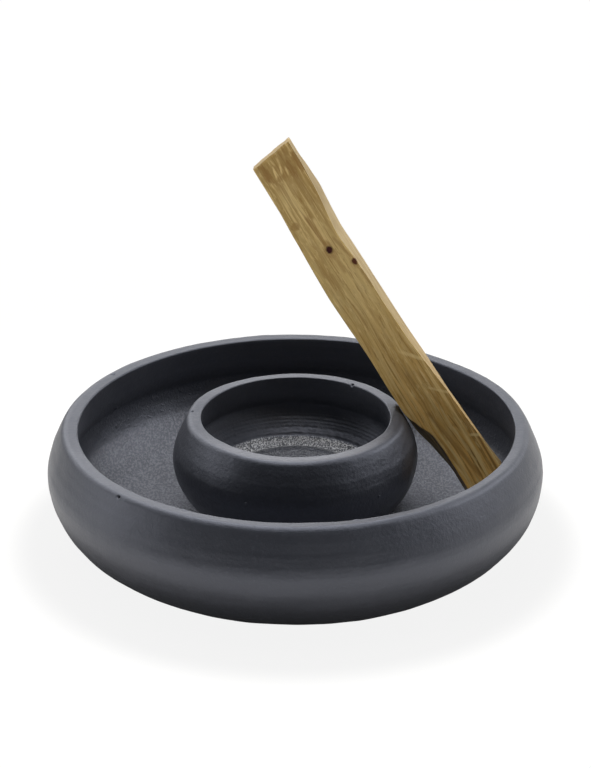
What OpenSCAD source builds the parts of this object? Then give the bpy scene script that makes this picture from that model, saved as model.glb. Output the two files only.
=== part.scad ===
// Smudge holder: a thrown clay dish, a small clay cup that stands loose in its middle,
// and a split stick of scented wood that stands in the trough and leans on the cup's lip.
// Millimetres, +Z up. The dish stands on Z = 0 about the Z axis, and the stick leans toward -X.

/* [Dish] */
// Diameter across the belly, the widest line of the dish
dish_d = 130; // [116:1:160]
// Height from the table to the crest of the lip
dish_h = 33.8; // [30:0.1:44]
// Height of the widest line
dish_belly_z = 21.6; // [17:0.1:25]
// Diameter of the flat base
dish_base_d = 84; // [70:1:105]
// How far the mouth draws in from the belly
dish_draw_in = 8; // [6:0.1:11]
// Thickness of the rounded lip
dish_lip = 3; // [2:0.1:4.5]
// Wall thickness at the belly
dish_wall = 5.5; // [4:0.1:7.5]
// Thickness of the floor
dish_floor = 7; // [5:0.1:10]
// How far the inside curve between wall and floor reaches in
dish_corner = 16.5; // [10:0.1:22]

/* [Cup] */
// Diameter across the cup's belly
cup_d = 64.4; // [56:0.1:72]
// Height from its foot to the crest of its lip
cup_h = 28.8; // [24:0.1:38]
// Height of its widest line above its foot
cup_belly_z = 17.5; // [14:0.1:20]
// Diameter of its foot
cup_foot_d = 40; // [34:1:52]
// Height at which its lower wall would meet the belly line if it ran on straight
cup_flare_z = 7.5; // [2:0.1:12]
// How far its mouth draws in from its belly
cup_draw_in = 7.4; // [6:0.1:10]
// Thickness of its rounded lip
cup_lip = 3.4; // [2.4:0.1:4.6]
// Wall thickness at its belly
cup_wall = 5.4; // [4:0.1:7]
// Height of its inside floor above its foot
cup_floor_z = 12.5; // [10:0.1:15]
// How far the inside curve between its wall and floor reaches in
cup_corner = 4.3; // [3:0.1:8]
// Width of the ring that it stands on
cup_ring_w = 6.5; // [4:0.1:9]
// Depth of the hollow turned out inside that ring
cup_hollow = 6; // [2:0.1:8]

/* [Stick] */
// Length along the grain
stick_l = 113; // [90:1:130]
// Width of its broad face
stick_w = 11.7; // [8:0.1:14]
// Thickness
stick_t = 7; // [4:0.1:9]
// How far behind the dish's axis its broad face stands
stick_y = 1.5; // [-4:0.1:3]
// Slant of its foot from square, in degrees, so that it stands on its inner corner
stick_foot_cut = 20; // [0:1:30]
// Slant of its top from square, in degrees, down toward the back
stick_top_cut = 9; // [0:1:30]
// Slant of its top from square, in degrees, down toward its under face
stick_top_skew = 11; // [0:1:20]
// Flat on its long edges
stick_edge = 0.5; // [0.2:0.1:1.2]

/* [Fits] */
// Clearance where the stick meets the cup's lip and the dish's floor
touch_gap = 0.3; // [0.2:0.05:0.8]
// Clearance of the stick's foot inside the dish's mouth, so that it lifts straight out
mouth_gap = 1.3; // [0.8:0.1:4]

/* [Hidden] */
$fn = 180;
clay = [0.20, 0.20, 0.22];
wood = [0.62, 0.52, 0.33];
// Steps along each curve of a profile
curve_steps = 12;
// How far round its lip a wall runs on, in degrees above level outside and below level inside
lip_turn = 32;
// Passes that settle the stick's lean against the place of its foot
settle_passes = 12;

dish_r = dish_d / 2;
dish_mouth_r = dish_r - dish_draw_in;
dish_inner_r = dish_r - dish_wall;
dish_flat_r = dish_inner_r - dish_corner;
cup_r = cup_d / 2;
cup_foot_r = cup_foot_d / 2;
cup_mouth_r = cup_r - cup_draw_in;
cup_inner_r = cup_r - cup_wall;
cup_flat_r = cup_inner_r - cup_corner;
dish_lip_c = [dish_mouth_r + dish_lip / 2, dish_h - dish_lip / 2];
cup_lip_c = [cup_mouth_r + cup_lip / 2, cup_h - cup_lip / 2];
// The inside of the cup is widest halfway between its floor and its lip
cup_inner_z = (cup_floor_z + cup_lip_c.y) / 2;

// The stick's edges, from foot to top, as shares of its length and width:
// along it, then front left, front right, back left and back right across it.
stick_stations = [
    [0.00, 0.34, 1.26, 0.16, 1.25],
    [0.09, 0.35, 1.25, 0.16, 1.21],
    [0.16, 0.35, 1.19, 0.05, 1.16],
    [0.21, 0.33, 1.14, -0.06, 1.11],
    [0.30, 0.00, 1.09, -0.09, 1.07],
    [0.45, 0.00, 1.00, -0.09, 1.03],
    [0.56, -0.04, 0.96, -0.11, 1.01],
    [0.62, -0.06, 0.96, -0.12, 1.00],
    [0.70, -0.04, 0.92, -0.11, 0.98],
    [0.75, -0.02, 0.87, -0.09, 0.96],
    [0.81, 0.00, 0.93, -0.08, 1.00],
    [0.86, 0.02, 0.99, -0.06, 1.03],
    [0.92, 0.02, 1.02, -0.05, 1.01],
    [0.94, 0.02, 1.02, -0.05, 0.99],
    [1.00, 0.04, 1.01, -0.04, 0.99]
];
stick_foot_in = stick_w * stick_stations[0][3];
stick_foot_out = stick_w * stick_stations[0][4];
stick_back_y = stick_y + stick_t;
// How far out of the dish's axis the stick's foot may reach
stick_reach = sqrt(pow(min(dish_mouth_r, dish_inner_r) - mouth_gap, 2) - pow(stick_back_y, 2));

// Points on an ellipse about c, with half axes a and b
function arc(c, a, b, from, to) =
    [for (i = [0:curve_steps]) let (t = from + (to - from) * i / curve_steps) c + [a * cos(t), b * sin(t)]];

// Points on a curve that leaves p toward q and arrives at r from q
function bend(p, q, r) =
    [for (i = [0:curve_steps]) let (t = i / curve_steps) p * pow(1 - t, 2) + q * 2 * t * (1 - t) + r * t * t];

// A point on a lip of thickness d about c
function lip_at(c, d, angle) = c + d / 2 * [cos(angle), sin(angle)];

// Shoulder from the widest point of a wall up to its lip, upright at the wall and smooth at the lip
function shoulder(wide, c, d) =
    let (end = lip_at(c, d, lip_turn))
    bend(wide, [wide.x, max(wide.y, end.y - (wide.x - end.x) / tan(lip_turn))], end);

// The same on the inside, from the lip down to the widest point of the inside
function inner_shoulder(wide, c, d) =
    let (end = lip_at(c, d, 180 + lip_turn))
    bend(end, [wide.x, max(wide.y, end.y - abs(wide.x - end.x) / tan(lip_turn))], wide);

function lip_arc(c, d) = arc(c, d / 2, d / 2, lip_turn, 180 + lip_turn);

// Outside of the cup from its foot up and over its lip, measured from its foot
cup_outside = concat(
    bend([cup_foot_r, 0], [cup_r, cup_flare_z], [cup_r, cup_belly_z]),
    shoulder([cup_r, cup_belly_z], cup_lip_c, cup_lip),
    lip_arc(cup_lip_c, cup_lip)
);

// Height of the dish's inside at a radius
function floor_at(r) =
    r <= dish_flat_r ? dish_floor :
    dish_belly_z - (dish_belly_z - dish_floor) * sqrt(max(0, 1 - pow((r - dish_flat_r) / dish_corner, 2)));

// Distance along the stick at which its inner foot corner clears the floor, for a lean and a place
function foot_start(lean, x) =
    let (r = norm([x + stick_foot_in * sin(lean), stick_back_y]))
    (floor_at(r) - dish_floor + touch_gap - stick_foot_in * cos(lean)) / sin(lean);

// Place of the stick's under face on the floor that keeps its outer foot corner within reach
function foot_place(lean, x) =
    let (rise = (stick_foot_out - stick_foot_in) * tan(stick_foot_cut))
    stick_reach + (foot_start(lean, x) + rise) * cos(lean) - stick_foot_out * sin(lean);

// Lean, up from level, at which a stick that stands at x just clears the outside of the cup
function lean_from(x) =
    max([for (p = cup_outside) let (d = [x - p.x, p.y]) atan2(d.y, d.x) + asin(touch_gap / norm(d))]);

// The lean and the place depend on each other, so they are worked out in turns
function settle(lean, x, passes) =
    passes == 0 ? [lean, x] :
    let (next = foot_place(lean, x))
    settle(lean_from(next), next, passes - 1);

stick_rest = settle(60, stick_reach - stick_w, settle_passes);
stick_lean = stick_rest[0];
stick_x = stick_rest[1];
stick_start = foot_start(stick_lean, stick_x);
// The way that the stick draws out
echo(stick_axis = [-cos(stick_lean), 0, sin(stick_lean)]);

function unit(v) = v / norm(v);

// Corners of a four-sided section with each corner cut off flat
function cut_corners(q) =
    [for (k = [0:3]) for (side = [3, 1]) q[k] + stick_edge * unit(q[(k + side) % 4] - q[k])];

// Section of the stick at a station, across it and through it, going round from the front left edge
function stick_section(s) =
    let (edge = s * stick_w)
    cut_corners([[edge[1], 0], [edge[2], 0], [edge[4], stick_t], [edge[3], stick_t]]);

// How far the cut of an end moves a point of it along the stick
function foot_slant(p) = (p.x - stick_foot_in) * tan(stick_foot_cut);
function top_slant(p) = (p.x - stick_w) * tan(stick_top_skew) - p.y * tan(stick_top_cut);

// Points of the section at a station in the stick's own frame
function stick_ring(i) =
    let (s = stick_stations[i])
    [for (p = stick_section(s))
        let (slant = i == 0 ? foot_slant(p) : i == len(stick_stations) - 1 ? top_slant(p) : 0)
        [p.x, p.y, stick_start + s[0] * stick_l + slant]];

module dish() {
    wide = [dish_r, dish_belly_z];
    inner_wide = [dish_inner_r, dish_belly_z];
    color(clay)
        rotate_extrude()
            polygon(concat(
                [[0, 0]],
                arc([dish_base_d / 2, dish_belly_z], dish_r - dish_base_d / 2, dish_belly_z, -90, 0),
                shoulder(wide, dish_lip_c, dish_lip),
                lip_arc(dish_lip_c, dish_lip),
                inner_shoulder(inner_wide, dish_lip_c, dish_lip),
                arc([dish_flat_r, dish_belly_z], dish_corner, dish_belly_z - dish_floor, 0, -90),
                [[0, dish_floor]]
            ));
}

module cup() {
    inner_wide = [cup_inner_r, cup_inner_z];
    ring_in = cup_foot_r - cup_ring_w;
    color(clay)
        translate([0, 0, dish_floor])
            rotate_extrude()
                polygon(concat(
                    [[0, cup_hollow], [ring_in, cup_hollow], [ring_in, 0]],
                    cup_outside,
                    inner_shoulder(inner_wide, cup_lip_c, cup_lip),
                    arc([cup_flat_r, cup_inner_z], cup_corner, cup_inner_z - cup_floor_z, 0, -90),
                    [[0, cup_floor_z]]
                ));
}

module stick() {
    sides = 8;
    last = len(stick_stations) - 1;
    points = [for (i = [0:last]) each stick_ring(i)];
    skin = [for (i = [0:last - 1]) for (k = [0:sides - 1])
        let (a = i * sides + k)
        let (b = i * sides + (k + 1) % sides)
        each [[a, a + sides, b], [b, a + sides, b + sides]]];
    foot = [[for (k = [0:sides - 1]) k]];
    top = [[for (k = [sides - 1:-1:0]) last * sides + k]];
    color(wood)
        translate([stick_x, stick_y, dish_floor])
            rotate([0, stick_lean - 90, 0])
                polyhedron(points, concat(skin, foot, top));
}

dish();
cup();
stick();
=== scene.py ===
# Looks of the smudge holder: a thrown clay dish and cup, and a split stick of scented wood.
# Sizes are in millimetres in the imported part's frame and become metres through MM.

import math

import bpy
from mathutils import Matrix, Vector


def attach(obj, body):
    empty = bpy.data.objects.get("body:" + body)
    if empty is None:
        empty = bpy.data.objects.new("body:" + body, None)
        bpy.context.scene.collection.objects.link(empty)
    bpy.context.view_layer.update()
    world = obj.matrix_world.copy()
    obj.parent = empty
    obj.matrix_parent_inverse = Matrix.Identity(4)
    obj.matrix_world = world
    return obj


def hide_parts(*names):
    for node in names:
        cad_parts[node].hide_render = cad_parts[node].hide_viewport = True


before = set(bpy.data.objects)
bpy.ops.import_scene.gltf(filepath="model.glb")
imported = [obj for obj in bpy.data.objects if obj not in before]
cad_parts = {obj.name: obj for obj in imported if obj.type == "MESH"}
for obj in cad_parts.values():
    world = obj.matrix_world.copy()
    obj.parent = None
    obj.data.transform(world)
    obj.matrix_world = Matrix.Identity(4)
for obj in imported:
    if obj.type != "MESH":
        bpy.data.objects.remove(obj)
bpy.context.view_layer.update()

MM = 0.001

# Dish, as radius and height
DISH_R = 65.0
DISH_BELLY_Z = 21.6
DISH_BASE_R = 42.0
DISH_Z = 33.6
DISH_MOUTH_R = 56.7
DISH_CREST_R = 59.0
DISH_TURN = 2.5
DISH_EDGE = 0.6
DISH_INNER_R = 59.5
DISH_FLAT_R = 45.0
DISH_FLOOR_Z = 7.0
DISH_ROUNDS = 384
# How far the dish's mouth leans off its base
DISH_MOUTH_SHIFT = (("X", 0.3), ("Y", -0.5))
# Low stretch of the dish's lip at the back right, as place, pull and reach
DISH_DIP = ((41, 41, 33.6), (0, 0, -0.6), 30)
# Pits and bumps on the dish, as place, pull and reach
DISH_MARKS = (
    ((-43.6, -42.2, 32.7), (0.45, 0.45, -0.55), 0.64),
    ((-49.5, 31.7, 33.5), (0, 0, -0.5), 0.9),
    ((-26.6, -49.8, 33.5), (0, 0, 0.25), 1.2),
    ((14.5, -55.2, 33.5), (0, 0, 0.2), 1.1),
    ((-48.2, 32.3, 21.9), (0.35, -0.25, 0.1), 0.8),
)

# Cup, which stands on the dish's floor
CUP_R = 32.2
CUP_BELLY_Z = 24.5
CUP_FOOT_R = 20.0
CUP_FLARE_Z = 14.5
CUP_RING_R = 13.5
CUP_HOLLOW_Z = 13.0
CUP_Z = 35.8
CUP_MOUTH_R = 24.6
CUP_CREST_R = 26.9
CUP_TURN = 2.4
CUP_EDGE = 0.5
CUP_INNER_R = 26.8
CUP_INNER_Z = 26.8
CUP_INNER_DROP = 2.9
CUP_FLOOR_Z = 19.5
CUP_ROUNDS = 320
# Turn between the cup's inner wall and its floor: radius, start in degrees, and how far out its centre is
CUP_CORNER = 1.5
CUP_CORNER_START = -26
CUP_WELL_R = 21.4
# Ring step on the cup's floor, the dark crease inside it, and the small flat at the centre
CUP_STEP_OUTER_R = 17.2
CUP_STEP_INNER_R = 15.0
CUP_STEP = 0.3
CUP_CREASE_R = 14.9
CUP_HUB_R = 0.6
CUP_HUB_RISE = 0.1
# How far the left of the cup's lip is pushed in
CUP_LIP_PUSH = 0.3
# Dent in the cup's lip where the stick leans, as place, pull and reach
CUP_DENT = ((28.6, 4.5, 34.4), (-0.8, 0, -0.1), 6)
# Pits and bumps on the cup, as place, pull and reach
CUP_MARKS = (
    ((-27.0, 3.0, 35.6), (0.1, 0, -0.5), 0.6),
    ((15.2, 20.0, 35.7), (0.35, 0.45, -0.6), 0.8),
    ((-12.4, -29.7, 24.6), (-0.1, -0.2, 0.15), 0.6),
    ((21.5, -23.9, 23.8), (0.12, -0.16, 0.1), 0.6),
)

# How far a shoulder leans in from upright where it meets its lip, in degrees
SHOULDER_LEAN = 27.0
# Finger rings fade out over a sixth of a stretch at either end
RING_FADE = 6
# Pitch of the fine rings over that of the broad ones
RING_FINE = 0.43
# Level of the cloud noise that leaves the skin where it is
DENT_LEVEL = 0.78

# Stick, in its own frame: across its broad face, through it and along it from its foot
STICK_L = 113.0
STICK_W = 11.7
STICK_T = 7.0
# Place of that frame in the part, and the stick's lean from level in degrees
STICK_PLACE = (44.628, 1.5, 7.0)
STICK_LEAN = 59.783
# Where the foot starts, and the slants of the end cuts in degrees
STICK_START = -0.234
STICK_FOOT_CUT = 20.0
STICK_TOP_CUT = 9.0
STICK_TOP_SKEW = 11.0
# Cuts across, through and along the block, and rows of the lattice that shapes it
STICK_CUTS = (39, 23, 299)
STICK_ROWS = 51
# How many times longer along the grain its dents are
GRAIN_RUN = 22
# Edges from foot to top as shares of length and width: along, front left, front right, back left, back right
STICK_STATIONS = (
    (0.00, 0.34, 1.26, 0.16, 1.25),
    (0.09, 0.35, 1.27, 0.16, 1.20),
    (0.16, 0.35, 1.23, 0.05, 1.16),
    (0.21, 0.31, 1.19, -0.06, 1.12),
    (0.25, 0.13, 1.17, -0.08, 1.10),
    (0.28, 0.02, 1.15, -0.09, 1.08),
    (0.30, 0.00, 1.14, -0.09, 1.08),
    (0.37, 0.00, 1.07, -0.09, 1.06),
    (0.45, 0.00, 1.00, -0.09, 1.03),
    (0.56, -0.04, 0.96, -0.11, 1.01),
    (0.62, -0.06, 0.96, -0.12, 1.00),
    (0.70, -0.04, 0.92, -0.11, 0.98),
    (0.75, -0.02, 0.87, -0.09, 0.96),
    (0.81, 0.00, 0.93, -0.08, 1.00),
    (0.86, 0.02, 0.99, -0.06, 1.03),
    (0.92, 0.02, 1.02, -0.05, 1.01),
    (0.94, 0.02, 1.03, -0.05, 0.99),
    (1.00, 0.02, 1.03, -0.05, 0.99),
)

# Colours of the clay
CLAY_DEEP = (0.006, 0.007, 0.010, 1)
CLAY_SOFT = (0.010, 0.011, 0.014, 1)
CLAY_RING = (0.024, 0.026, 0.032, 1)
CLAY_GRAIN = (0.032, 0.034, 0.040, 1)
# Painted light on the dish's upward-facing floor
CLAY_LIT_FLOOR = (0.118, 0.121, 0.132, 1)
# Painted shade on the cup's steep walls
CLAY_WALL_SHADE = (0.004, 0.0045, 0.006, 1)
# Painted highlight on the flat tops of the lips
CLAY_LIT_LIP = (0.085, 0.086, 0.092, 1)
# Painted glints on the cup's floor
CLAY_GLINT = (0.36, 0.365, 0.375, 1)
CLAY_SHEEN = (0.80, 0.84, 1.0, 1)
CLAY_IOR = 1.8

# Colours of the wood
WOOD_GOLD = (0.48, 0.332, 0.118, 1)
WOOD_LIGHT = (0.57, 0.412, 0.166, 1)
WOOD_TOP = (0.37, 0.243, 0.082, 1)
# Painted light toward the foot, against its shade in the trough
WOOD_FOOT_LIFT = (0.70, 0.400, 0.108, 1)
WOOD_BLOTCH = (0.55, 0.410, 0.190, 1)
WOOD_BAND = (0.38, 0.240, 0.072, 1)
WOOD_FIBRE = (0.31, 0.185, 0.055, 1)
WOOD_PALE = (0.72, 0.54, 0.24, 1)
WOOD_BROWN = (0.28, 0.155, 0.044, 1)
CREAM = (0.35, 0.265, 0.136, 1)
CREAM_LINE = (0.26, 0.187, 0.086, 1)
CREAM_FOOT = (0.29, 0.190, 0.072, 1)
CREAM_TOP = (0.25, 0.180, 0.082, 1)
SAWN_END = (0.24, 0.175, 0.082, 1)
# Painted shade on the notch's left face
NOTCH_SHADE = (0.085, 0.050, 0.022, 1)
KNOT_RED = (0.034, 0.001, 0.001, 1)
EYE_RED = (0.078, 0.020, 0.005, 1)
WOOD_SPECULAR = 0.3

# Places of the knot and of the smaller eye, across and along the stick
KNOT = (6.2, 82.1)
EYE = (10.2, 76.2)
# Brown stains on the stick's broad face: place, half size and strength
STAINS = (
    ((2.7, 107.3), (1.2, 3.6), 0.75),
    ((11.3, 106.6), (1.0, 3.8), 0.80),
    ((8.8, 105.6), (1.1, 2.8), 0.75),
    ((10.2, 111.0), (1.4, 1.7), 0.40),
    ((6.0, 105.0), (2.4, 1.0), 0.45),
    ((6.6, 107.4), (2.0, 2.3), 0.35),
    ((1.9, 91.8), (1.2, 1.2), 0.55),
)
# Torn fibres, lines and cuts on the broad face: start, end, half width, strength and colour
STROKES = (
    ((5.0, 108.4), (4.3, 105.2), 0.34, 0.8, WOOD_PALE),
    ((6.8, 108.2), (6.1, 105.8), 0.34, 0.8, WOOD_PALE),
    ((7.7, 107.0), (7.4, 104.6), 0.30, 0.7, WOOD_PALE),
    ((5.3, 110.6), (5.6, 108.6), 0.30, 0.5, WOOD_PALE),
    ((7.0, 110.2), (7.0, 108.4), 0.30, 0.5, WOOD_PALE),
    ((5.5, 92.8), (5.8, 83.4), 0.75, 0.65, WOOD_BROWN),
    ((6.9, 91.5), (6.8, 84.5), 0.55, 0.6, WOOD_PALE),
    ((4.6, 95.0), (5.4, 83.2), 0.28, 0.7, WOOD_PALE),
    ((6.5, 80.6), (6.7, 74.5), 0.50, 0.5, WOOD_BROWN),
    ((8.6, 84.8), (10.1, 77.6), 0.55, 0.5, WOOD_BROWN),
    ((10.7, 73.8), (10.9, 67.5), 0.50, 0.5, WOOD_BROWN),
    ((7.9, 48.6), (13.3, 42.2), 0.60, 0.8, WOOD_PALE),
    ((9.2, 36.2), (13.4, 31.9), 0.45, 0.7, WOOD_PALE),
    ((12.2, 18.7), (15.4, 16.8), 0.55, 1.0, WOOD_PALE),
    ((5.7, 30.0), (9.0, 6.5), 0.70, 0.6, WOOD_BROWN),
)

# Colours of the floor under the object, around it and far off: a painted shadow under the object, white
# around it, and painted shade far off, which the clay shows in its reflections
FLOOR_SHADOW = (0.13, 0.125, 0.12, 1)
FLOOR_WHITE = (0.98, 0.96, 0.92, 1)
FLOOR_FAR_SHADE = (0.55, 0.54, 0.52, 1)

# Soft panels, in metres and degrees: name, turn, rise, width, height, level, and whether the sheen shows it
PANEL_REACH = 1.1
PANEL_AIM_Z = 0.03
PANELS = (
    ("top_panel", 0, 82, 0.8, 1.1, 5.0, True),
    ("left_back_panel", 315, 38, 0.8, 0.7, 2.8, True),
    ("left_panel", 300, 20, 0.5, 0.4, 0.8, True),
    ("right_panel", 80, 29, 1.0, 0.6, 4.2, True),
    ("low_back_panel", 0, 20, 1.3, 0.4, 3.15, True),
    ("low_left_panel", 268, 12, 0.5, 0.4, 3.9, True),
    ("low_right_panel", 38, 8, 0.45, 0.25, 2.6, True),
    ("front_panel", 220, 60, 0.5, 0.5, 4.9, False),
)
SKY = (0.95, 0.97, 1.0, 1)
SKY_LEVEL = 0.02

# Camera, in metres and degrees
CAMERA_PLACE = (0.00006, -0.64011, 0.32786)
CAMERA_TILT = 66.126
CAMERA_LENS = 126.64


# Outlines of thrown clay

def arc(centre, across, up, start, end, steps):
    """Points on an ellipse about a centre, between two angles in degrees."""
    turns = [math.radians(start + (end - start) * i / steps) for i in range(steps + 1)]
    return [(centre[0] + across * math.cos(t), centre[1] + up * math.sin(t)) for t in turns]


def bend(start, pull, end, steps):
    """Points on a curve that leaves start toward pull and comes to end from pull."""
    points = []
    for i in range(steps + 1):
        t = i / steps
        near, mid, far = (1 - t) ** 2, 2 * t * (1 - t), t * t
        points.append(tuple(near * a + mid * b + far * c for a, b, c in zip(start, pull, end)))
    return points


def run(start, end, steps):
    """Points on a straight line."""
    return bend(start, ((start[0] + end[0]) / 2, (start[1] + end[1]) / 2), end, steps)


def thrown(points, depth, pitch, phase=0.0):
    """The same stretch with the soft rings that fingers leave, pressed into the clay on its left side."""
    ringed = [points[0]]
    way = 0.0
    last = len(points) - 1
    for i in range(1, last):
        before, here, after = points[i - 1], points[i], points[i + 1]
        way += math.dist(before, here)
        along = (after[0] - before[0], after[1] - before[1])
        length = math.hypot(*along)
        fade = min(1.0, RING_FADE * i / last, RING_FADE * (last - i) / last)
        broad = math.sin(math.tau * way / pitch + phase)
        fine = math.sin(math.tau * way / (pitch * RING_FINE))
        dent = depth * fade * (0.5 + 0.5 * (0.7 * broad + 0.3 * fine))
        ringed.append((here[0] - dent * along[1] / length, here[1] + dent * along[0] / length))
    ringed.append(points[last])
    return ringed


def lip(wide, crest_r, mouth_r, top, turn, edge, inner):
    """From a wall's widest point up its shoulder, over its flat lip and down to its inside.

    The lip's outer edge is round and its inner edge crisp.
    """
    over = arc((crest_r, top - turn), turn, turn, SHOULDER_LEAN, 90, steps=9)
    fall_to = over[0][1] - (wide[0] - over[0][0]) / math.tan(math.radians(SHOULDER_LEAN))
    shoulder = bend(wide, (wide[0], fall_to), over[0], steps=22)
    corner = arc((mouth_r + edge, top - edge), edge, edge, 90, 180, steps=6)
    return (
        thrown(shoulder, depth=0.06, pitch=3.4, phase=1.0),
        over,
        run(over[-1], corner[0], steps=6),
        corner,
        bend(corner[-1], (mouth_r, (top + inner[1]) / 2), inner, steps=18),
    )


def join(*stretches):
    """One outline from stretches that meet end to end."""
    outline = list(stretches[0])
    for points in stretches[1:]:
        outline += points[1:]
    return outline


# Tools of the bench

def deselect():
    bpy.ops.object.select_all(action="DESELECT")


def take(piece):
    """Makes a piece the only one selected and worked on."""
    deselect()
    piece.select_set(True)
    bpy.context.view_layer.objects.active = piece


def edit(mode="VERT"):
    bpy.ops.object.mode_set(mode="EDIT")
    bpy.ops.mesh.select_mode(type=mode)


def done():
    bpy.ops.object.mode_set(mode="OBJECT")


def drop_all(mesh):
    """Leaves no point, edge or face of a mesh selected."""
    for part in (mesh.vertices, mesh.edges, mesh.polygons):
        part.foreach_set("select", [False] * len(part))


def smooth(value, low, high):
    """0 below low, 1 above high, eased between, for plain numbers."""
    t = min(1.0, max(0.0, (value - low) / (high - low)))
    return t * t * (3 - 2 * t)


def off_axis(point):
    return math.hypot(point.x, point.y)


def spin_up(name, outline, rounds):
    """Draws half an outline point by point and spins it about Z into a closed pot."""
    deselect()
    bpy.ops.mesh.primitive_plane_add(size=MM, location=(0, 0, 0))
    pot = bpy.context.object
    pot.name = pot.data.name = name
    edit()
    bpy.ops.mesh.select_all(action="SELECT")
    bpy.ops.mesh.merge(type="CENTER")
    bpy.ops.transform.translate(value=(outline[0][0] * MM, 0, outline[0][1] * MM))
    for here, there in zip(outline, outline[1:]):
        way = ((there[0] - here[0]) * MM, 0, (there[1] - here[1]) * MM)
        bpy.ops.mesh.extrude_region_move(TRANSFORM_OT_translate={"value": way})
    bpy.ops.mesh.select_all(action="SELECT")
    bpy.ops.mesh.spin(steps=rounds, angle=math.tau, center=(0, 0, 0), axis=(0, 0, 1))
    bpy.ops.mesh.select_all(action="SELECT")
    bpy.ops.mesh.remove_doubles(threshold=0.001 * MM)
    bpy.ops.mesh.normals_make_consistent(inside=False)
    done()
    return pot


def weigh(piece, name, share):
    """A vertex group that weighs each point by its place in mm."""
    group = piece.vertex_groups.new(name=name)
    for point in piece.data.vertices:
        group.add([point.index], share(point.co / MM), "REPLACE")
    return group.name


def press(piece, name, depth, size, group="", runner=None):
    """Presses cloudy dents of one size into a piece, nearly all inwards.

    runner is an empty whose scale draws them out.
    """
    clouds = bpy.data.textures.new(name, "CLOUDS")
    clouds.noise_scale = size * MM
    clouds.noise_depth = 2
    dents = piece.modifiers.new(name, "DISPLACE")
    dents.texture = clouds
    dents.strength = depth * MM
    dents.mid_level = DENT_LEVEL
    dents.vertex_group = group
    if runner:
        dents.texture_coords = "OBJECT"
        dents.texture_coords_object = runner
    take(piece)
    bpy.ops.object.modifier_apply(modifier=dents.name)


def slide(piece, axis, way, group):
    """Slides the weighted part of a piece a way along an axis."""
    move = piece.modifiers.new("slide", "DISPLACE")
    move.direction = axis
    move.mid_level = 0
    move.strength = way * MM
    move.vertex_group = group
    take(piece)
    bpy.ops.object.modifier_apply(modifier=move.name)


def pick(piece, place, reach=0.0):
    """Selects the faces within reach of a place in mm, or only the nearest point."""
    take(piece)
    at = Vector(place) * MM
    mesh = piece.data
    drop_all(mesh)
    if reach:
        for face in mesh.polygons:
            face.select = (face.center - at).length < reach * MM
    else:
        min(mesh.vertices, key=lambda point: (point.co - at).length_squared).select = True


def nudge(piece, place, pull, reach):
    """Pulls the skin nearest a place by a move that fades out over a reach."""
    pick(piece, place)
    edit()
    bpy.ops.transform.translate(
        value=Vector(pull) * MM,
        use_proportional_edit=True,
        proportional_edit_falloff="SMOOTH",
        proportional_size=reach * MM,
    )
    done()


def mark(piece, place, pull, reach):
    """A small pit or bump: the skin is cut finer around it first."""
    pick(piece, place, reach + 1.0)
    bpy.context.tool_settings.mesh_select_mode = (False, False, True)
    edit("FACE")
    bpy.ops.mesh.subdivide(number_cuts=3)
    done()
    nudge(piece, place, pull, reach)


def cut_along(piece, axis, cuts):
    """Subdivides every edge that runs along one axis."""
    take(piece)
    mesh = piece.data
    drop_all(mesh)
    bpy.context.tool_settings.mesh_select_mode = (False, True, False)
    for edge in mesh.edges:
        start, end = (mesh.vertices[i].co for i in edge.vertices)
        line = end - start
        edge.select = abs(line[axis]) > 0.99 * line.length
    edit("EDGE")
    bpy.ops.mesh.subdivide(number_cuts=cuts)
    done()


# Dish

def dish_free(point):
    """Share of the dish's skin that may be dented: not its base, nor its floor under the cup."""
    under_cup = smooth(-off_axis(point), -34, -24) * (point.z > 1)
    return smooth(point.z, 0.2, 4) * (1 - under_cup)


def dish_mouth(point):
    """Share of the dish that shifts with its mouth."""
    return smooth(point.z, 10, 26) * (1 - smooth(off_axis(point), 57.5, 60.5))


def make_dish():
    wide = (DISH_R, DISH_BELLY_Z)
    inner = (DISH_INNER_R, DISH_BELLY_Z)
    beside_cup = (CUP_FOOT_R + 1, DISH_FLOOR_Z)
    belly = (DISH_R - DISH_BASE_R, DISH_BELLY_Z)
    hollow = (DISH_INNER_R - DISH_FLAT_R, DISH_BELLY_Z - DISH_FLOOR_Z)
    outside = arc((DISH_BASE_R, DISH_BELLY_Z), *belly, -90, 0, steps=46)
    inside = arc((DISH_FLAT_R, DISH_BELLY_Z), *hollow, 0, -90, steps=40)
    trough = run((DISH_FLAT_R, DISH_FLOOR_Z), beside_cup, steps=26)
    outline = join(
        run((0, 0), (DISH_BASE_R, 0), steps=6),
        thrown(outside, depth=0.07, pitch=5.2),
        *lip(wide, DISH_CREST_R, DISH_MOUTH_R, DISH_Z, DISH_TURN, DISH_EDGE, inner),
        thrown(join(inside, trough), depth=0.22, pitch=13.0, phase=0.6),
        run(beside_cup, (0, DISH_FLOOR_Z), steps=6),
    )
    dish = spin_up("thrown_dish", outline, DISH_ROUNDS)
    free = weigh(dish, "free", dish_free)
    press(dish, "hand_wobble", depth=0.5, size=26, group=free)
    press(dish, "skin_dents", depth=0.16, size=4.5, group=free)
    mouth = weigh(dish, "mouth", dish_mouth)
    for axis, way in DISH_MOUTH_SHIFT:
        slide(dish, axis, way, mouth)
    dish.vertex_groups.clear()
    nudge(dish, *DISH_DIP)
    for place, pull, reach in DISH_MARKS:
        mark(dish, place, pull, reach)
    return dish


# Cup

def cup_free(point):
    """Share of the cup's skin that may be dented: not its foot."""
    return smooth(point.z, DISH_FLOOR_Z + 0.2, DISH_FLOOR_Z + 3)


def cup_well(point):
    """1 on the cup's inner floor."""
    return float(18 < point.z < 22 and off_axis(point) < 24.5)


def cup_left_lip(point):
    """Share of the cup that moves with the left of its lip."""
    return smooth(-point.x, 4, 22) * smooth(point.z, 25, 33)


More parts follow.
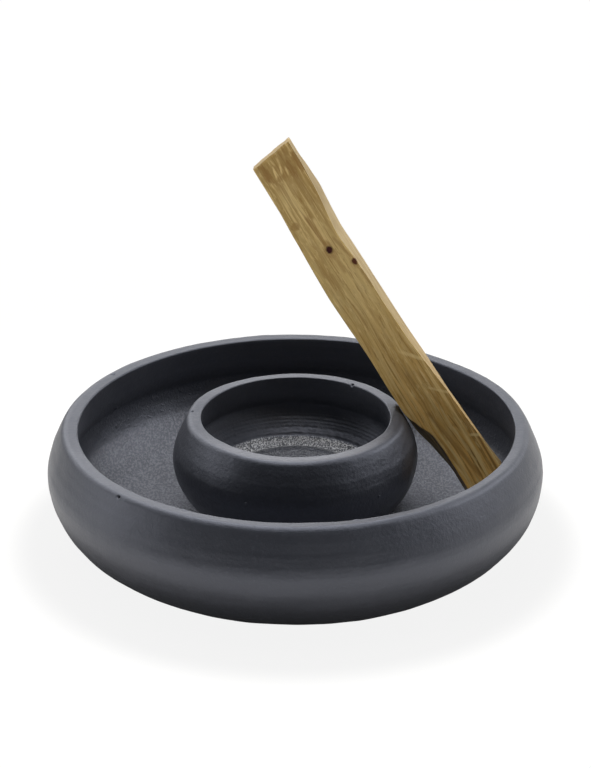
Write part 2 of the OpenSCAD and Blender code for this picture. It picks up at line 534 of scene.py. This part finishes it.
def make_cup():
    wide = (CUP_R, CUP_BELLY_Z)
    inner = (CUP_INNER_R, CUP_INNER_Z)
    outside = bend((CUP_FOOT_R, DISH_FLOOR_Z), (CUP_R, CUP_FLARE_Z), wide, steps=34)
    well_turn = (CUP_WELL_R, CUP_FLOOR_Z + CUP_CORNER)
    corner = arc(well_turn, CUP_CORNER, CUP_CORNER, CUP_CORNER_START, -90, steps=8)
    inside = bend(inner, (CUP_INNER_R, CUP_INNER_Z - CUP_INNER_DROP), corner[0], steps=30)
    smooth_part, ringed_part = inside[:11], inside[10:]
    step_low = (CUP_STEP_OUTER_R, CUP_FLOOR_Z - CUP_STEP)
    step_high = (CUP_STEP_INNER_R, CUP_FLOOR_Z + CUP_STEP)
    hub = (CUP_HUB_R, CUP_FLOOR_Z + CUP_HUB_RISE)
    outline = join(
        run((0, CUP_HOLLOW_Z), (CUP_RING_R, CUP_HOLLOW_Z), steps=4),
        run((CUP_RING_R, CUP_HOLLOW_Z), (CUP_RING_R, DISH_FLOOR_Z), steps=3),
        run((CUP_RING_R, DISH_FLOOR_Z), (CUP_FOOT_R, DISH_FLOOR_Z), steps=4),
        thrown(outside, depth=0.06, pitch=4.4),
        *lip(wide, CUP_CREST_R, CUP_MOUTH_R, CUP_Z, CUP_TURN, CUP_EDGE, inner),
        smooth_part,
        thrown(ringed_part, depth=0.09, pitch=1.0, phase=0.4),
        corner,
        run(corner[-1], step_low, steps=14),
        run(step_low, step_high, steps=6),
        run(step_high, hub, steps=34),
        run(hub, (0, hub[1]), steps=1),
    )
    cup = spin_up("thrown_cup", outline, CUP_ROUNDS)
    free = weigh(cup, "free", cup_free)
    press(cup, "hand_wobble", depth=0.6, size=18, group=free)
    press(cup, "skin_dents", depth=0.12, size=3.5, group=free)
    press(cup, "rough_well", depth=0.26, size=0.9, group=weigh(cup, "well", cup_well))
    slide(cup, "X", CUP_LIP_PUSH, weigh(cup, "left_lip", cup_left_lip))
    cup.vertex_groups.clear()
    nudge(cup, *CUP_DENT)
    for place, pull, reach in CUP_MARKS:
        mark(cup, place, pull, reach)
    return cup


# Stick

def stick_edges(share):
    """The four long edges across the stick at a share of its length."""
    for low, high in zip(STICK_STATIONS, STICK_STATIONS[1:]):
        if share <= high[0]:
            t = (share - low[0]) / (high[0] - low[0])
            return [a + (b - a) * t for a, b in zip(low[1:], high[1:])]
    return list(STICK_STATIONS[-1][1:])


def add_cage(size):
    """A lattice around the plain block, whose rows follow the stick's four edges and its slanted ends."""
    deselect()
    bpy.ops.object.add(type="LATTICE", location=size / 2)
    cage = bpy.context.object
    cage.scale = size
    cage.data.points_u = cage.data.points_v = 2
    cage.data.points_w = STICK_ROWS
    cage.data.interpolation_type_u = cage.data.interpolation_type_v = "KEY_LINEAR"
    cage.data.interpolation_type_w = "KEY_CARDINAL"
    foot_in = stick_edges(0)[2] * STICK_W
    foot_ends, top_starts = STICK_STATIONS[1][0], STICK_STATIONS[-2][0]
    for row in range(STICK_ROWS):
        share = row / (STICK_ROWS - 1)
        edges = stick_edges(share)
        foot_part = max(0.0, 1 - share / foot_ends)
        top_part = max(0.0, (share - top_starts) / (1 - top_starts))
        for back in (0, 1):
            for right in (0, 1):
                across = edges[2 * back + right] * STICK_W
                along = STICK_START + share * STICK_L
                along += foot_part * (across - foot_in) * math.tan(math.radians(STICK_FOOT_CUT))
                along += top_part * (across - STICK_W) * math.tan(math.radians(STICK_TOP_SKEW))
                along -= top_part * back * STICK_T * math.tan(math.radians(STICK_TOP_CUT))
                point = cage.data.points[4 * row + 2 * back + right]
                point.co_deform = (across / STICK_W - 0.5, back - 0.5, along / STICK_L - 0.5)
    return cage


def make_stick():
    deselect()
    size = Vector((STICK_W, STICK_T, STICK_L)) * MM
    bpy.ops.mesh.primitive_cube_add(size=1, location=size / 2)
    stick = bpy.context.object
    stick.name = stick.data.name = "split_stick"
    stick.scale = size
    bpy.ops.object.transform_apply(location=True, rotation=True, scale=True)
    for axis, cuts in enumerate(STICK_CUTS):
        cut_along(stick, axis, cuts)

    cage = add_cage(size)
    shape = stick.modifiers.new("split_shape", "LATTICE")
    shape.object = cage
    take(stick)
    bpy.ops.object.modifier_apply(modifier=shape.name)
    bpy.data.objects.remove(cage)

    worn = stick.modifiers.new("worn_edges", "SMOOTH")
    worn.factor = 0.5
    worn.iterations = 3
    bpy.ops.object.modifier_apply(modifier=worn.name)

    deselect()
    bpy.ops.object.empty_add(location=(0, 0, 0))
    runner = bpy.context.object
    runner.scale = (1, 1, GRAIN_RUN)
    bpy.context.view_layer.update()
    press(stick, "split_ridges", depth=0.42, size=2.4, runner=runner)
    press(stick, "fibres", depth=0.22, size=0.75, runner=runner)
    bpy.data.objects.remove(runner)

    take(stick)
    stick.location = Vector(STICK_PLACE) * MM
    stick.rotation_euler = (0, math.radians(STICK_LEAN - 90), 0)
    bpy.ops.object.transform_apply(location=True, rotation=True, scale=True)
    return stick


# Finishes

class Tone:
    """A value or colour in a material, held by the socket it comes from. Sums on it add Math nodes."""

    def __init__(self, tree, socket):
        self.tree = tree
        self.socket = socket

    def node(self, kind, settings=None, sockets=None, out=0):
        """Adds a node: its settings first, then numbers, colours or other tones for its sockets."""
        node = self.tree.nodes.new(kind)
        for key, value in (settings or {}).items():
            setattr(node, key, value)
        for key, value in (sockets or {}).items():
            if isinstance(value, Tone):
                self.tree.links.new(value.socket, node.inputs[key])
            else:
                node.inputs[key].default_value = value
        return Tone(self.tree, node.outputs[out]) if node.outputs else None

    def out(self, name):
        """Another output of the same node."""
        return Tone(self.tree, self.socket.node.outputs[name])

    def sum(self, operation, first, second):
        return self.node("ShaderNodeMath", {"operation": operation}, {0: first, 1: second})

    def __abs__(self):
        return self.sum("ABSOLUTE", self, 0.0)

    def __add__(self, other):
        return self.sum("ADD", self, other)

    __radd__ = __add__

    def __sub__(self, other):
        return self.sum("SUBTRACT", self, other)

    def __rsub__(self, other):
        return self.sum("SUBTRACT", other, self)

    def __mul__(self, other):
        return self.sum("MULTIPLY", self, other)

    __rmul__ = __mul__

    def __pow__(self, other):
        return self.sum("POWER", self, other)


def new_finish(name):
    """An empty material, and the place on the piece that its nodes start from."""
    material = bpy.data.materials.new(name)
    material.use_nodes = True
    tree = material.node_tree
    tree.nodes.clear()
    start = tree.nodes.new("ShaderNodeTexCoord")
    return material, Tone(tree, start.outputs["Object"])


def split(place):
    """The three parts of a vector."""
    parts = place.node("ShaderNodeSeparateXYZ", {}, {0: place})
    return parts, parts.out("Y"), parts.out("Z")


def in_mm(place):
    """The three parts of a place, in mm."""
    return [part * (1 / MM) for part in split(place)]


def step(value, low, high):
    """0 below low, 1 above high, eased between."""
    return value.node(
        "ShaderNodeMapRange",
        {"interpolation_type": "SMOOTHSTEP"},
        {"Value": value, "From Min": low, "From Max": high},
    )


def below(value, low, high):
    """1 below low, 0 above high, eased between."""
    return 1 - step(value, low, high)


def stretch(place, scale):
    return place.node("ShaderNodeMapping", {}, {"Vector": place, "Scale": scale})


def cloud(place, size, detail, rough=0.5):
    """Cloudy noise whose patches measure about size in mm."""
    sockets = {"Vector": place, "Scale": 1 / (size * MM), "Detail": detail, "Roughness": rough}
    return place.node("ShaderNodeTexNoise", {}, sockets)


def drawn(place, slim, size, detail, rough=0.5):
    """Cloudy noise drawn out along the stick. slim is its width over its length."""
    return cloud(stretch(place, (1, 1, slim)), size, detail, rough)


def toward(normal, way):
    """How far a normal points one way, from -1 to 1."""
    return normal.node("ShaderNodeVectorMath", {"operation": "DOT_PRODUCT"}, {0: normal, 1: way}, "Value")


def mix(mask, first, second):
    """A colour between two others."""
    return mask.node("ShaderNodeMix", {"data_type": "RGBA"}, {0: mask, 6: first, 7: second}, 2)


def surface(material, tone, colour, roughness, height, fixed):
    """Ends a finish: height is in mm and becomes bump, fixed holds the sockets that don't vary."""
    bump = tone.node("ShaderNodeBump", {}, {"Height": height * MM, "Distance": 1.0, "Strength": 1.0})
    sockets = {"Base Color": colour, "Roughness": roughness, "Normal": bump}
    sockets.update(fixed)
    shader = tone.node("ShaderNodeBsdfPrincipled", {}, sockets)
    tone.node("ShaderNodeOutputMaterial", {}, {"Surface": shader})
    return material


def clay_finish(name):
    """Black burnished clay with a cool sheen, and grit bumps inside the dish and on the cup's floor. Its lip
    tops and the dish's upward floor are painted lighter as light, the cup's steep walls painted darker as
    shade, and bright specks on the cup's floor are painted glints.
    """
    material, place = new_finish(name)
    x, y, z = in_mm(place)
    radius = (x * x + y * y) ** 0.5
    face_x, face_y, upward = split(place.out("Normal"))
    inward = (face_x * x + face_y * y) * -1 * (radius ** -1)

    cup = step(z, 14, 16) * below(radius, 34, 36)
    dish = 1 - cup
    trough = dish * step(upward, 0.3, 0.65) * below(z, 16, 22)
    inside = dish * step(upward + inward, 0.3, 0.8) * below(z, 20, 31)
    well = cup * step(upward, 0.55, 0.85) * below(z, 20.5, 22) * below(radius, 21.9, 22.6)
    crease = below(abs(radius - CUP_CREASE_R), 0.8, 2.2)
    disc = below(radius, 13.6, 15.6)
    shaded_wall = cup * below(upward, 0.35, 0.7)
    lips = step(upward, 0.85, 0.98) * step(z, 31.5, 33)
    lit_front_lips = lips * below(y, -25, -8) * (0.33 + cup * 0.67)
    lit_back_lip = lips * cup * step(y, 7, 17)
    matt_wall = cup * step(inward, 0.15, 0.45) * below(z, 23, 29) * below(x, -18, -2)
    right_flank = cup * step(x, 20, 28) * below(inward, -0.4, 0) * below(z, 27, 31)

    mottle = cloud(place, 22, 2)
    grain = cloud(place, 0.9, 4, 0.6)
    grit = cloud(stretch(place, (1, 0.6, 1)), 0.52, 2, 0.6)
    speck = cloud(stretch(place, (1, 0.5, 1)), 0.36, 2, 0.6)
    lump = step(cloud(place, 1.3, 2), 0.58, 0.72)
    rings = place.node(
        "ShaderNodeTexNoise",
        {"noise_dimensions": "4D"},
        {"Vector": stretch(place, (28, 28, 800)), "W": radius * 0.8, "Scale": 1.0, "Detail": 3.0},
    )

    tint = mix(step(mottle, 0.3, 0.7), CLAY_DEEP, CLAY_SOFT)
    tint = mix(step(rings, 0.45, 0.75) * 0.3, tint, CLAY_RING)
    tint = mix(step(grain, 0.55, 0.72) * 0.4, tint, CLAY_GRAIN)
    # Painted light: the dish's upward-facing floor is made far lighter than the clay, speckled by the grit
    # noise
    tint = mix(trough * (0.35 + step(grit, 0.42, 0.62) * 0.65), tint, CLAY_LIT_FLOOR)
    # Painted shade: the cup's steep walls, turned away from the light above, are made darker
    tint = mix(shaded_wall * 0.5, tint, CLAY_WALL_SHADE)
    # Painted highlight: the flat lip tops made lighter, most on the front of the cup's lip, less on the
    # dish's front lip and the cup's back lip
    tint = mix(lit_front_lips + lit_back_lip * 0.4, tint, CLAY_LIT_LIP)
    # Painted glints: bright specks on the cup's floor, fewer on the centre disc and in the crease ring
    painted_glints = (0.06 + step(speck, 0.46, 0.58) * 0.94) * (1 - disc * 0.72) * (1 - crease * 0.75)
    tint = mix(well * painted_glints, tint, CLAY_GLINT)
    roughness = 0.43 + mottle * 0.06 + grain * 0.10
    roughness = roughness - well * 0.12 + matt_wall * 0.28 - right_flank * 0.12
    height = grain * 0.10 + rings * 0.025
    height = height + (grit * 0.07 + lump * 0.06) * inside + speck * well * 0.14
    return surface(material, place, tint, roughness, height, {"IOR": CLAY_IOR, "Specular Tint": CLAY_SHEEN})


def spot(across, along, at, size, ragged):
    """A ragged oval mark, 1 inside it. Its size is half its width and half its length in mm."""
    aside = (across - at[0]) * (1 / size[0])
    ahead = (along - at[1]) * (1 / size[1])
    return below((aside * aside + ahead * ahead) ** 0.5 + ragged, 0.55, 1.1)


def stroke(across, along, start, end, width, ragged):
    """A ragged mark along a line between two places."""
    reach = math.dist(start, end)
    way = ((end[0] - start[0]) / reach, (end[1] - start[1]) / reach)
    ahead = (across - start[0]) * way[0] + (along - start[1]) * way[1]
    aside = (across - start[0]) * way[1] - (along - start[1]) * way[0]
    narrow = below(abs(aside) * (1 / width) + ragged, 0.3, 1.1)
    return narrow * step(ahead, -0.6, 0.8) * below(ahead, reach - 0.8, reach + 0.6)


def wood_finish(name):
    """Golden split wood with streaks along its grain and a cream side. Toward the foot it has more brown
    streaks and a darker cream side, and it is painted brighter and more orange, most on its broad face, as
    light against the shade it gets in the trough.

    Its knots, stains, torn fibres and cuts lie on its broad face.
    """
    material, place = new_finish(name)
    turn = math.radians(STICK_LEAN - 90)
    local = place.node(
        "ShaderNodeMapping",
        {"vector_type": "TEXTURE"},
        {"Vector": place, "Location": Vector(STICK_PLACE) * MM, "Rotation": (0, turn, 0)},
    )
    across, deep, along = in_mm(local)
    side = toward(place.out("Normal"), (math.cos(turn), 0, -math.sin(turn)))
    tip = toward(place.out("Normal"), (math.sin(turn), 0, math.cos(turn)))
    front = below(deep, 0.6, 1.4)
    foot = below(along, 8, 75)

    ragged = (cloud(local, 1.1, 3, 0.6) - 0.5) * 1.1
    torn = (drawn(local, 0.3, 0.8, 3, 0.7) - 0.5) * 2.2
    drift = (drawn(local, 0.4, 16, 2) - 0.5) * (4 * MM)
    drift = local.node("ShaderNodeCombineXYZ", {}, {"X": drift})
    grain = local.node("ShaderNodeVectorMath", {"operation": "ADD"}, {0: local, 1: drift})
    patch = drawn(grain, 0.30, 9, 2)
    blotch = drawn(grain, 0.40, 3.2, 3, 0.6)
    band = drawn(grain, 0.06, 3.6, 2)
    streak = drawn(grain, 0.05, 1.5, 3, 0.6)
    line = drawn(grain, 0.035, 0.75, 2)
    fleck = drawn(grain, 0.14, 0.6, 3, 0.7)
    fibre = drawn(grain, 0.04, 0.42, 3, 0.65)

    tint = mix(step(patch, 0.32, 0.68), WOOD_GOLD, WOOD_LIGHT)
    tint = mix(step(along, 80, 100) * 0.85, tint, WOOD_TOP)
    # Painted light: the wood made brighter and more orange toward the foot, most on the broad face, against
    # the shade it gets in the trough
    tint = mix(foot * (0.2 + front * 0.7), tint, WOOD_FOOT_LIFT)
    tint = mix(step(blotch, 0.50, 0.66) * 0.4, tint, WOOD_BLOTCH)
    tint = mix(step(band, 0.48, 0.66) * 0.4, tint, WOOD_BAND)
    tint = mix(step(streak, 0.53, 0.64) * (0.35 + foot * 0.35), tint, WOOD_BROWN)
    tint = mix(below(streak, 0.36, 0.47) * (0.4 + foot * 0.2), tint, WOOD_PALE)
    tint = mix(below(line, 0.34, 0.42) * 0.6, tint, WOOD_PALE)
    tint = mix(step(line, 0.59, 0.66) * (0.5 + foot * 0.35), tint, WOOD_BROWN)
    tint = mix(below(fleck, 0.34, 0.44) * 0.55, tint, WOOD_PALE)
    tint = mix(step(fleck, 0.58, 0.68) * 0.55, tint, WOOD_BROWN)
    tint = mix(step(fibre, 0.52, 0.70) * 0.3, tint, WOOD_FIBRE)

    for at, size, depth in STAINS:
        tint = mix(front * spot(across, along, at, size, torn) * depth, tint, WOOD_BROWN)
    for start, end, width, depth, shade in STROKES:
        tint = mix(front * stroke(across, along, start, end, width, ragged * 0.8) * depth, tint, shade)

    # Painted highlight: a pale line on the rounded left edge, where light from the left catches it
    lit_left_edge = below(side, -0.55, -0.2) * step(side, -0.97, -0.8)
    tint = mix(lit_left_edge * 0.5, tint, WOOD_PALE)
    cream = mix(step(fibre, 0.45, 0.65), CREAM, CREAM_LINE)
    cream = mix(foot, cream, CREAM_FOOT)
    cream = mix(step(along, 88, 97) * 0.6, cream, CREAM_TOP)
    tint = mix(step(side, 0.75, 0.97) * 0.95, tint, cream)
    tint = mix(step(tip, 0.4, 0.8) * step(along, 105, 108) * 0.9, tint, SAWN_END)
    # Painted shade: the left face of the notch near the foot made dark brown
    tint = mix(below(side, -0.95, -0.7) * below(along, 26, 34) * 0.85, tint, NOTCH_SHADE)

    knot = spot(across, along, KNOT, (1.05, 1.2), ragged * 0.7)
    eye = spot(across, along, EYE, (0.75, 1.1), ragged * 0.7)
    tint = mix(front * spot(across, along, KNOT, (1.6, 3.0), torn) * 0.45, tint, WOOD_BROWN)
    tint = mix(front * spot(across, along, EYE, (1.2, 2.4), torn) * 0.45, tint, WOOD_BROWN)
    tint = mix(front * knot, tint, KNOT_RED)
    tint = mix(front * eye, tint, EYE_RED)
    roughness = 0.60 + fibre * 0.18
    height = fibre * 0.07 + streak * 0.10 - knot * 0.15
    return surface(material, place, tint, roughness, height, {"Specular IOR Level": WOOD_SPECULAR})


# Stage

def floor_finish():
    """White to the camera, with the object's soft shadow left on it, and matt paint to the light, with a
    painted shadow under the object and painted shade far off.
    """
    material, place = new_finish("white_floor")
    rays = place.node("ShaderNodeLightPath", {})
    mirrored = rays.sum("MAXIMUM", rays.out("Is Glossy Ray"), rays.out("Is Transmission Ray"))
    seen = rays.sum("MAXIMUM", rays.out("Is Camera Ray") * 0.88, mirrored * 0.05)
    x, y = in_mm(place)[:2]
    radius = (x * x + y * y) ** 0.5
    # Painted shadow under the object, and painted shade on the floor far off
    shade = mix(step(radius, 68, 82), FLOOR_SHADOW, FLOOR_WHITE)
    shade = mix(step(radius, 105, 180), shade, FLOOR_FAR_SHADE)
    paint = place.node("ShaderNodeBsdfDiffuse", {}, {"Color": shade})
    glow = place.node("ShaderNodeEmission", {}, {"Color": (1, 1, 1, 1), "Strength": 1.0})
    both = place.node("ShaderNodeMixShader", {}, {0: seen, 1: paint, 2: glow})
    place.node("ShaderNodeOutputMaterial", {}, {"Surface": both})
    return material


def soft_light(name, turn, rise, width, height, level, sheen):
    """A soft panel that faces the object, turned clockwise from behind it and raised. Level 1 is white."""
    turn, rise = math.radians(turn), math.radians(rise)
    way = Vector((math.sin(turn) * math.cos(rise), math.cos(turn) * math.cos(rise), math.sin(rise)))
    lamp = bpy.data.lights.new(name, "AREA")
    lamp.shape = "RECTANGLE"
    lamp.size, lamp.size_y = width, height
    lamp.energy = level * math.pi * width * height
    panel = bpy.data.objects.new(name, lamp)
    panel.location = way * PANEL_REACH + Vector((0, 0, PANEL_AIM_Z))
    panel.rotation_euler = way.to_track_quat("Z", "Y").to_euler()
    panel.visible_glossy = sheen
    bpy.context.scene.collection.objects.link(panel)


def set_stage():
    """The floor, the light and the camera."""
    deselect()
    bpy.ops.mesh.primitive_plane_add(size=6, location=(0, 0, -0.0001))
    floor = bpy.context.object
    floor.name = "floor"
    floor.data.materials.append(floor_finish())

    scene = bpy.context.scene
    scene.view_settings.view_transform = "Standard"
    scene.world = bpy.data.worlds.new("studio")
    scene.world.use_nodes = True
    sky = scene.world.node_tree.nodes["Background"]
    sky.inputs["Color"].default_value = SKY
    sky.inputs["Strength"].default_value = SKY_LEVEL
    for panel in PANELS:
        soft_light(*panel)

    lens = bpy.data.cameras.new("camera")
    lens.lens = CAMERA_LENS
    lens.sensor_width = 36
    lens.clip_start = 0.01
    camera = bpy.data.objects.new("camera", lens)
    camera.location = CAMERA_PLACE
    camera.rotation_euler = (math.radians(CAMERA_TILT), 0, 0)
    scene.collection.objects.link(camera)
    scene.camera = camera


def finish_piece(piece, node, finish):
    """Gives a piece its finish and its place in the part."""
    take(piece)
    bpy.ops.object.shade_smooth()
    piece.data.materials.clear()
    piece.data.materials.append(finish)
    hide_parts(node)
    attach(piece, node)


set_stage()
clay = clay_finish("black_clay")
finish_piece(make_dish(), "dish", clay)
finish_piece(make_cup(), "cup", clay)
finish_piece(make_stick(), "stick", wood_finish("scented_wood"))
